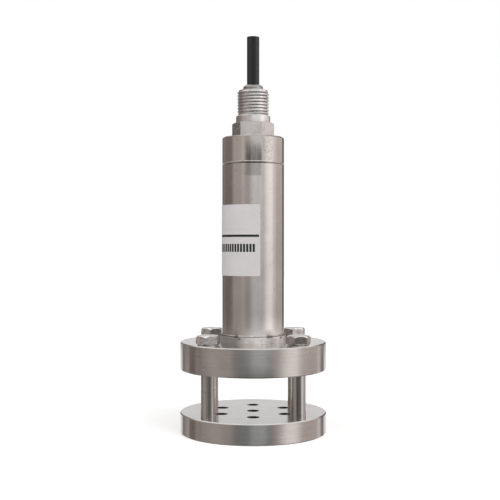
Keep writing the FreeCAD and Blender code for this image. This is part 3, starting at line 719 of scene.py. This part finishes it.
def bolt_mottle_and_reflections(shader):
    """Painted dark reflection down each shank's front, mottled heads, and a painted dark reflection on one
    face of the front right head.
    """
    x, y, height = shader.axes
    facing = shader.turn(shader.normal[0], shader.normal[1])
    on_right = shader.over(x, 0.0)
    # Painted dark reflection down each shank's front
    middle = shader.add(reflection_streak_middle_left, on_right, reflection_streak_middle_right - reflection_streak_middle_left)
    streak = shader.ramp(shader.distance(facing, middle), reflection_streak_edge, (reflection_streak_depth, 0.0))
    streak = shader.times(streak, shader.under(height, flange_bottom))

    patches = shader.pattern("head_patches", head_patch_span, (0.0, head_patch_depth))
    patches = shader.times(patches, shader.over(height, head_foot))

    # Painted dark reflection on one face of the front right head
    dark_face = shader.times(
        shader.ramp(shader.distance(facing, dark_reflection_middle), dark_reflection_edge, (1.0, 0.0)),
        shader.under(shader.normal[2], chamfer_span[0]),
        shader.over(height, flange_top + dark_reflection_foot),
        shader.times(on_right, shader.under(y, 0.0)),
        shader.pattern("head_face", dark_reflection_span, dark_reflection_depth),
    )
    return shader.largest(streak, patches, dark_face)


def fitting_shade_and_cloud(shader):
    """Painted shade in the roots of the conduit thread, on the left side and on the hex's left face, and
    clouds all over.
    """
    x, y, height = shader.axes
    root = thread_crest_radius - thread_depth
    # Painted shade in the thread's roots, weaker on the left
    root_shade = shader.times(
        shader.ramp(shader.hypotenuse(x, y), (root, root + thread_depth / 2), (1.0, 0.0)),
        shader.ramp(shader.angle, root_shade_left_span, root_shade_left),
        shader.under(height, fitting_top - root_shade_below_top),
    )
    # Painted shade on the left side
    left_shade = shader.ramp(shader.angle, left_shade_span, (left_shade_depth, 0.0))
    # Painted shade on the hex's left face, in patches
    face_span = (fitting_turn - left_face_softness, fitting_turn)
    left_face = shader.times(
        shader.ramp(shader.angle, face_span, (left_face_shade_depth, 0.0)),
        shader.under(height, cap_top + fitting_hex_height),
        shader.pattern("fitting_face", left_face_span, left_face_patches),
    )
    cloud = shader.pattern("fitting_cloud", fitting_cloud_span, (0.0, fitting_cloud_depth))
    return shader.largest(root_shade, left_shade, left_face, cloud)


def weld_metal():
    """Brushed weld: bright, with painted shade towards its sides, in its crease and on the seam's lower
    front, a painted highlight on the seam's lower sides, and painted reflections of the bolt heads in spots.
    """
    shader = Shader("weld_metal")
    around = shader.calc("ABSOLUTE", shader.angle)
    colour = shader.mix(shader.pattern("weld_blotches", weld_blotch_span), *weld_tones)
    # Painted shade towards the bead's sides
    colour = shader.mix(shader.ramp(around, weld_side_shade_span, (0.0, weld_side_shade_share)), colour, weld_side_shade_tone)

    # Lower half of the seam's ridge: painted highlight at the sides, painted shade in front
    seam_middle = tube_top + seam_lift
    lower_half = shader.times(
        shader.ramp(shader.height, (seam_middle - seam_shade_height, seam_middle), (1.0, 0.0)),
        shader.over(shader.height, tube_top - seam_lift),
    )
    side = shader.ramp(around, seam_side_highlight_span)
    front = shader.calc("SUBTRACT", 1.0, side)
    colour = shader.mix(shader.times(lower_half, side), colour, seam_side_highlight_tone)
    colour = shader.mix(shader.times(lower_half, front), colour, seam_front_shade_tone)

    # Painted shade in the crease at the bead's foot
    crease = shader.ramp(shader.above(hub_top), bead_crease_shade_edge, (bead_crease_shade_depth, 0.0))
    colour = shader.mix(crease, colour, weld_crease_shade_tone)
    # Painted reflections of the bolt heads
    colour = shader.mix(painted_reflections_by_weld(shader), colour, weld_reflection_tone)
    shader.set(Base_Color=colour, Metallic=1.0, Roughness=weld_roughness)
    shader.bump(shader.noise("weld_grain"), weld_grain_relief, grain_strength)
    return shader.material


def plain_plastic(name):
    """Moulded plastic or rubber with a faint grain and uneven tone."""
    shader = Shader(name)
    colour, roughness, grain, variation = plastics[name]
    fine = shader.noise("moulded_grain")
    shader.set(
        Base_Color=shader.mix(shader.noise("moulded_cloud"), scaled(colour, 1.0 - variation), colour),
        Roughness=shader.add(roughness - roughness_step, fine, 2 * roughness_step),
    )
    shader.bump(fine, grain, grain_strength)
    return shader.material


def cable_rubber():
    """Black sheath: drawn marks along its length, painted sheen bands and fine dust."""
    shader = Shader("cable_rubber")
    marks = shader.noise("sheath_marks")
    dust = shader.times(shader.pattern("sheath_dust", sheath_dust_span), sheath_dust_share)
    colour = shader.mix(marks, *sheath_tones)
    colour = shader.mix(dust, colour, sheath_dust_tone)
    # Painted sheen on either side of the front
    painted_sheen = shader.largest(
        shader.ramp(shader.angle, painted_sheen_right_span, (0.0, painted_sheen_right_share)),
        shader.ramp(shader.angle, painted_sheen_left_span, (painted_sheen_left_share, 0.0)),
    )
    colour = shader.mix(painted_sheen, colour, sheath_painted_sheen_tone)
    shader.set(
        Base_Color=colour,
        Roughness=shader.add(sheath_roughness, marks, sheath_roughness_rise),
        Specular_IOR_Level=sheath_gloss,
    )
    shader.bump(marks, sheath_relief, grain_strength)
    return shader.material


def label_foil():
    """Off-white foil label with a printed rule and a row of plain blocks."""
    shader = Shader("label_foil")
    right_edge = math.degrees(math.asin(label_high.x / MM / tube_radius))
    # Distance leftwards from the label's right edge, along the tube
    arc = shader.times(shader.calc("SUBTRACT", right_edge, shader.angle), tube_degree)
    lift = shader.above(label_low.z / MM)
    rule = shader.times(
        shader.band(lift, rule_height, rule_thickness),
        shader.over(arc, rule_end_gap),
    )
    inwards = shader.calc("SUBTRACT", arc, block_right_gap)
    phase = shader.calc("FRACT", shader.calc("DIVIDE", inwards, block_pitch))
    blocks = shader.times(
        shader.band(lift, block_row_height, block_height),
        shader.within(inwards, 0.0, block_row_length),
        shader.under(phase, block_fill),
    )
    fibre = shader.noise("paper_fibre")
    paper = shader.mix(shader.noise("paper_cloud"), *paper_tones)
    ink = shader.mix(fibre, *ink_tones)
    shader.set(
        Base_Color=shader.mix(shader.largest(rule, blocks), paper, ink),
        Roughness=shader.add(paper_roughness, fibre, 2 * roughness_step),
    )
    shader.bump(fibre, paper_relief, paper_relief_strength)
    return shader.material


def dress_frame():
    """Give each carried-over CAD node its material. Returns the fitting's and the cable sheath's."""
    turned = machined_metal("turned_steel", "turned")
    tube = machined_metal("tube_steel", "turned", foot_stain_and_reflections, tube_stain_and_reflection_depth, cleaned_tube, drawn=True)
    cap = machined_metal("cap_steel", "turned", cap_stain_and_shade, cap_stain_and_shade_depth, drawn=True)
    flange = machined_metal("flange_steel", "turned", hub_painted_shade_and_reflections, flange_painted_shade_depth, cleaned_hub)
    bolt = machined_metal("bolt_steel", "bolt", bolt_mottle_and_reflections, bolt_mottle_and_reflection_depth, head_painted_light, bolt_offset)
    inner = machined_metal("inner_steel", "inner")
    fitting = machined_metal("fitting_steel", "fitting", fitting_shade_and_cloud, fitting_shade_and_cloud_depth)
    rubber = plain_plastic("seal_rubber")
    sheath = cable_rubber()
    finishes = (
        (turned, "guard_plate", "clamp_ring"),
        (flange, "sensor_flange"),
        (tube, "body_tube"),
        (cap, "top_cap"),
        (bolt, "tie_bolts", "clamp_screws"),
        (inner, "diaphragm", "sensor_capsule", "capsule_ring", "terminal_screws", "gland_washer"),
        (machined_metal("ferrule_steel", "ferrule"), "cable_ferrule"),
        (machined_metal("pin_brass", "brass"), "header_pins"),
        (rubber, "diaphragm_seal", "capsule_seal", "cap_seal", "fitting_seal", "cable_grommet"),
        (plain_plastic("cradle_plastic"), "board_cradle"),
        (plain_plastic("board_laminate"), "circuit_board"),
        (plain_plastic("chip_plastic"), "board_components"),
        (plain_plastic("terminal_plastic"), "terminal_block"),
        (plain_plastic("lead_sheath"), "sensor_wires", "inner_leads", "cable_cores"),
        (plain_plastic("vent_plastic"), "vent_tube", "cable_vent"),
        (sheath, "cable_tail"),
        (label_foil(), "label"),
    )
    for material, *names in finishes:
        for name in names:
            mesh = cad_nodes[name].data
            mesh.materials.clear()
            mesh.materials.append(material)
    return fitting, sheath


def add_object(name, data):
    made = bpy.data.objects.new(name, data)
    bpy.context.scene.collection.objects.link(made)
    return made


def finish_mesh(name, build, material, sharp_angle=sharp_edge):
    """Object from a bmesh, smooth apart from edges sharper than an angle."""
    bmesh.ops.remove_doubles(build, verts=build.verts, dist=merge_distance * MM)
    bmesh.ops.dissolve_degenerate(build, edges=build.edges, dist=merge_distance * MM)
    bmesh.ops.recalc_face_normals(build, faces=build.faces)
    for face in build.faces:
        face.smooth = True
    limit = math.radians(sharp_angle)
    for edge in build.edges:
        edge.smooth = len(edge.link_faces) == 2 and edge.calc_face_angle(0.0) < limit
    mesh = bpy.data.meshes.new(name)
    build.to_mesh(mesh)
    build.free()
    mesh.materials.append(material)
    return add_object(name, mesh)


def angles_round(columns, start=0.0):
    """Evenly spaced angles round the part, in radians."""
    return [start + 2 * math.pi * column / columns for column in range(columns)]


def outward(angle, height=0.0):
    """Direction at an angle from -Y towards +X."""
    return Vector((math.sin(angle), -math.cos(angle), height))


def ring_point(build, radius, angle, height):
    place = outward(angle) * radius
    place.z = height
    return build.verts.new(place * MM)


def ring(build, angles, radius, height):
    return [ring_point(build, radius, angle, height) for angle in angles]


def bridge(build, rings):
    """Quads between neighbouring closed rings."""
    for lower, upper in zip(rings, rings[1:]):
        count = len(lower)
        for column in range(count):
            after = (column + 1) % count
            build.faces.new((lower[column], lower[after], upper[after], upper[column]))


def hex_ring(build, angles, height, side):
    """Ring round the hexagon, its corners lowered (side 1) or raised (side -1) by the chamfer.

    Side 0 gives the ring within the end face, whose corners are cut off by the chamfer's circle.
    """
    points = []
    for angle in angles:
        from_flat = (angle - math.radians(fitting_turn)) % (math.pi / 3) - math.pi / 6
        radius = fitting_flats / 2 / math.cos(from_flat)
        drop = max(0.0, radius - hex_rim_radius) * math.tan(math.radians(hex_chamfer_angle))
        if side == 0:
            radius = min(radius, hex_rim_radius)
        points.append(ring_point(build, radius, angle, height - side * drop))
    return points


def fitting_body(build, angles):
    """Shank, crowned hexagon, collar and gland bore, in one closed skin apart from the thread."""
    hex_top = cap_top + fitting_hex_height
    collar_top = hex_top + collar_height
    root_radius = thread_crest_radius - thread_depth
    outside = [
        ring(build, angles, fitting_bore_radius, fitting_bottom),
        ring(build, angles, fitting_shank_radius - shank_chamfer, fitting_bottom),
        ring(build, angles, fitting_shank_radius, fitting_bottom + shank_chamfer),
        ring(build, angles, fitting_shank_radius, cap_top),
        hex_ring(build, angles, cap_top, 0),
        hex_ring(build, angles, cap_top, -1),
        hex_ring(build, angles, hex_top, 1),
        hex_ring(build, angles, hex_top, 0),
        ring(build, angles, collar_radius - collar_foot_chamfer, hex_top),
        ring(build, angles, collar_radius, hex_top + collar_foot_chamfer),
        ring(build, angles, collar_radius, collar_top - collar_chamfer),
        ring(build, angles, collar_radius - collar_chamfer, collar_top),
        ring(build, angles, root_radius, collar_top),
    ]
    inside = [
        ring(build, angles, root_radius, fitting_top),
        ring(build, angles, gland_radius, fitting_top),
        ring(build, angles, gland_radius, gland_floor),
        ring(build, angles, fitting_bore_radius, gland_floor),
        outside[0],
    ]
    bridge(build, outside)
    bridge(build, inside)


def fitting_thread(build, angles):
    """Helical thread. A row that has gone once round continues as a higher row."""
    bottom = cap_top + fitting_hex_height + collar_height
    root_radius = thread_crest_radius - thread_depth
    steps = len(thread_form)
    rise = thread_pitch / steps
    rows = int((fitting_top - bottom) / rise) + steps + thread_spare_rows
    grid = []
    for row in range(-steps, rows):
        line = []
        for column, angle in enumerate(angles):
            height = bottom + rise * (row + steps * column / fitting_columns)
            height = min(max(height, bottom), fitting_top)
            nearest_end = min(height - bottom, fitting_top - height)
            strength = min(1.0, nearest_end / thread_run_out)
            radius = root_radius + thread_depth * strength * thread_form[row % steps]
            line.append(ring_point(build, radius, angle, height))
        grid.append(line)
    last = fitting_columns - 1
    for row, (lower, upper) in enumerate(zip(grid, grid[1:])):
        for column in range(last):
            build.faces.new((lower[column], lower[column + 1], upper[column + 1], upper[column]))
        wrapped = row + steps
        if wrapped + 1 < len(grid):
            build.faces.new((lower[last], grid[wrapped][0], grid[wrapped + 1][0], upper[last]))


def threaded_fitting(material):
    """Conduit fitting with the thread that its solid leaves out."""
    build = bmesh.new()
    angles = angles_round(fitting_columns, math.radians(fitting_turn))
    fitting_body(build, angles)
    fitting_thread(build, angles)
    made = finish_mesh("threaded_fitting", build, material)
    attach(made, "root")
    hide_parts("conduit_fitting")


def seam_bead(material):
    """Low ridge of the ground weld just above the tube's top edge."""
    build = bmesh.new()
    rings = []
    for out, lift in seam_outline:
        radius = tube_radius - seam_sink + out * seam_swell
        middle = tube_top + seam_lift + lift * seam_half_height
        points = []
        for angle in angles_round(seam_columns):
            wander = seam_wander * noise.noise(outward(angle, seam_noise_height) * seam_wander_waves)
            points.append(ring_point(build, radius, angle, middle + wander))
        rings.append(points)
    bridge(build, [*rings, rings[0]])
    made = finish_mesh("seam_bead", build, material, sharp_bead_edge)
    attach(made, "root")


def weld_bead(material):
    """Small uneven weld bead between the hub and the tube."""
    build = bmesh.new()
    angles = angles_round(bead_columns)
    foot_radius = tube_radius - bead_sink
    foot_height = hub_top - bead_sink
    rings = []
    for point in range(bead_points + 1):
        slope = math.pi / 2 * point / bead_points
        points = []
        for angle in angles:
            wander = bead_wander * noise.noise(outward(angle) * bead_wander_waves)
            ripple = bead_ripple * abs(math.sin(bead_ripple_count / 2 * angle))
            size = bead_size + wander - ripple * math.sin(2 * slope)
            out, up = size * math.cos(slope), size * math.sin(slope)
            points.append(ring_point(build, foot_radius + out, angle, foot_height + up))
        rings.append(points)
    heel = ring(build, angles, foot_radius, foot_height)
    bridge(build, [heel, *rings, heel])
    made = finish_mesh("weld_bead", build, material, sharp_bead_edge)
    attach(made, "root")
    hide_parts("hub_weld")


def cable(material):
    """The short cable: from the gland's floor, out of the ferrule and up to its neat cut."""
    route = (
        (0.0, 0.0, gland_floor),
        (0.0, 0.0, cable_exit),
        (0.0, 0.0, (cable_exit + cable_end) / 2),
        (0.0, 0.0, cable_end),
    )
    data = bpy.data.curves.new("cable", "CURVE")
    data.dimensions = "3D"
    spline = data.splines.new("NURBS")
    spline.points.add(len(route) - 1)
    for point, place in zip(spline.points, route):
        point.co = (*(Vector(place) * MM), 1.0)
    spline.order_u = 3
    spline.use_endpoint_u = True
    spline.resolution_u = cable_steps
    data.bevel_depth = cable_radius * MM
    data.bevel_resolution = cable_round_steps
    data.use_fill_caps = True
    data.materials.append(material)
    made = add_object("cable", data)
    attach(made, "root")
    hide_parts("cable_run")
    return made


def cable_filler():
    """Pale packing round the cores, seen on the cable's cut end."""
    build = bmesh.new()
    angles = angles_round(filler_columns)
    foot, shoulder, top = (cable_end + height for height in filler_heights)
    rings = [
        ring(build, angles, filler_radius, foot),
        ring(build, angles, filler_radius, shoulder),
        ring(build, angles, filler_radius - filler_rounding, top),
        ring(build, angles, filler_heart, top),
    ]
    bridge(build, rings)
    build.faces.new(rings[0])
    build.faces.new(rings[-1])
    made = finish_mesh("cable_filler", build, plain_plastic("filler_fibre"))
    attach(made, "root")
    return made


def soft_lamp(name, place, spread, strength):
    """Broad distant lamp. The metal sees the studio's panels in its place."""
    data = bpy.data.lights.new(name, "SUN")
    data.angle = math.radians(spread)
    data.energy = strength
    made = add_object(name, data)
    made.location = Vector(place) * MM
    made.rotation_euler = (-made.location).to_track_quat("-Z", "Y").to_euler()
    made.visible_glossy = False


def studio_colour(world):
    """Colour that the metal sees in each direction."""
    x, y, height = world.split(world.node("ShaderNodeTexCoord").outputs["Generated"])
    azimuth = world.turn(x, y)
    upper = world.ramp(height, (table_horizon - horizon_softness, table_horizon + horizon_softness))
    parts = {"all": 1.0, "upper": upper, "lower": world.calc("SUBTRACT", 1.0, upper)}
    colour = room_colour
    for kind, shapes in (("ADD", studio_panels), ("MULTIPLY", studio_flags)):
        for middle, half_width, softness, tint, part in shapes.values():
            away = world.distance(azimuth, middle)
            seen = world.ramp(away, (half_width, half_width + softness), (1.0, 0.0))
            colour = world.mix(world.times(seen, parts[part]), colour, tint, kind)
    rise = world.ramp(height, room_rise_span, room_rise)
    colour = world.mix(1.0, colour, world.fed("ShaderNodeCombineColor", rise, rise, rise), "MULTIPLY")
    aside = world.calc("ABSOLUTE", azimuth)
    for part, (start, softness, tint) in studio_backdrop.items():
        seen = world.ramp(aside, (start - softness, start))
        colour = world.mix(world.times(seen, parts[part]), colour, tint)
    colour = world.mix(world.ramp(height, nadir_fade, (1.0, 0.0)), colour, nadir_colour)
    return world.mix(world.ramp(height, overhead_fade), colour, overhead_colour)


def studio_world():
    """White to the camera, panels to the metal, and even light for plain surfaces."""
    made = bpy.data.worlds.new("studio")
    bpy.context.scene.world = made
    world = Nodes(made)
    path = world.node("ShaderNodeLightPath").outputs
    plain = world.fed("ShaderNodeBackground", room_light_colour, room_light_level)
    panels = world.fed("ShaderNodeBackground", studio_colour(world))
    white = world.fed("ShaderNodeBackground", (1.0, 1.0, 1.0))
    for_metal = world.fed("ShaderNodeMixShader", path["Is Glossy Ray"], plain, panels)
    direct = world.largest(path["Is Camera Ray"], path["Is Transmission Ray"])
    for_view = world.fed("ShaderNodeMixShader", direct, for_metal, white)
    world.feed(world.node("ShaderNodeOutputWorld").inputs["Surface"], for_view)


def floor():
    """Plain white floor that keeps the part's soft shadow."""
    build = bmesh.new()
    bmesh.ops.create_grid(build, x_segments=1, y_segments=1, size=floor_size / 2 * MM)
    mesh = bpy.data.meshes.new("floor")
    build.to_mesh(mesh)
    build.free()
    material = bpy.data.materials.new("floor_paper")
    nodes = Nodes(material)
    camera_ray = nodes.node("ShaderNodeLightPath").outputs["Is Camera Ray"]
    diffuse = nodes.fed("ShaderNodeBsdfDiffuse", (floor_albedo, floor_albedo, floor_albedo))
    glow = nodes.fed("ShaderNodeEmission", (1.0, 1.0, 1.0), nodes.times(camera_ray, floor_camera_glow))
    both = nodes.fed("ShaderNodeAddShader", diffuse, glow)
    nodes.feed(nodes.node("ShaderNodeOutputMaterial").inputs["Surface"], both)
    mesh.materials.append(material)
    made = add_object("floor", mesh)
    made.visible_glossy = False


def camera():
    """Camera at the photograph's viewpoint, facing +Y and looking down a little."""
    data = bpy.data.cameras.new("camera")
    data.sensor_width = camera_sensor
    data.lens = camera_lens
    data.clip_start = camera_near * MM
    data.clip_end = camera_far * MM
    made = add_object("camera", data)
    made.location = Vector(camera_place) * MM
    made.rotation_euler = (math.radians(90 - camera_tilt), 0.0, 0.0)
    bpy.context.scene.camera = made


bpy.context.scene.view_settings.view_transform = "Standard"
camera()
fitting_steel, cable_black = dress_frame()
cable_piece = cable(cable_black)
filler_piece = cable_filler()
threaded_fitting(fitting_steel)
weld_steel = weld_metal()
weld_bead(weld_steel)
seam_bead(weld_steel)
floor()
studio_world()
for lamp_name, lamp in lamps.items():
    soft_lamp(lamp_name, *lamp)
